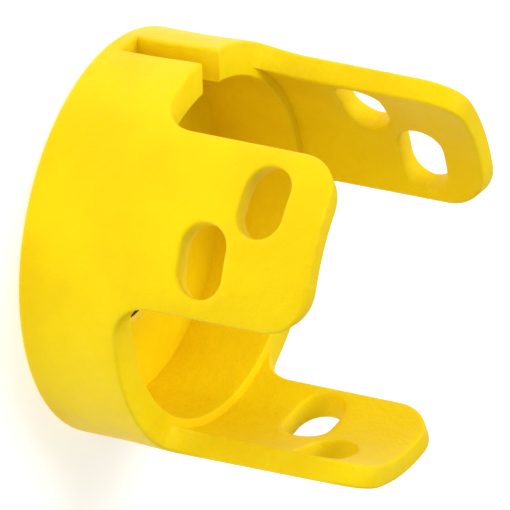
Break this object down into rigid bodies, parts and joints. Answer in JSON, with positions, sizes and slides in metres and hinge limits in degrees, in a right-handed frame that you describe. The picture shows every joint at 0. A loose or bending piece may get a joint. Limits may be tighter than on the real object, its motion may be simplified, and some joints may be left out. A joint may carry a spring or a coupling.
{
  "type": "emergency stop padlocking collar",
  "caption": "Round padlocking collar for a mushroom emergency-stop button: a base plate with a mounting hole, a ring wall and standing tongues pierced for padlock shackles.",
  "frame": {"origin": "centre of the mounting hole, in the plane of the panel face", "axes": "+Z along the button's axis, out of the panel and out of the mouth; the front tongue is centred on -Y"},
  "size_m": [0.0488, 0.0488, 0.0372],
  "materials": {
    "yellow_plastic": "satin, fine moulded grain",
    "black_rubber": "matte"
  },
  "bodies": {
    "root": {"collar": "yellow_plastic", "panel_gasket": "black_rubber"}
  },
  "joints": []
}
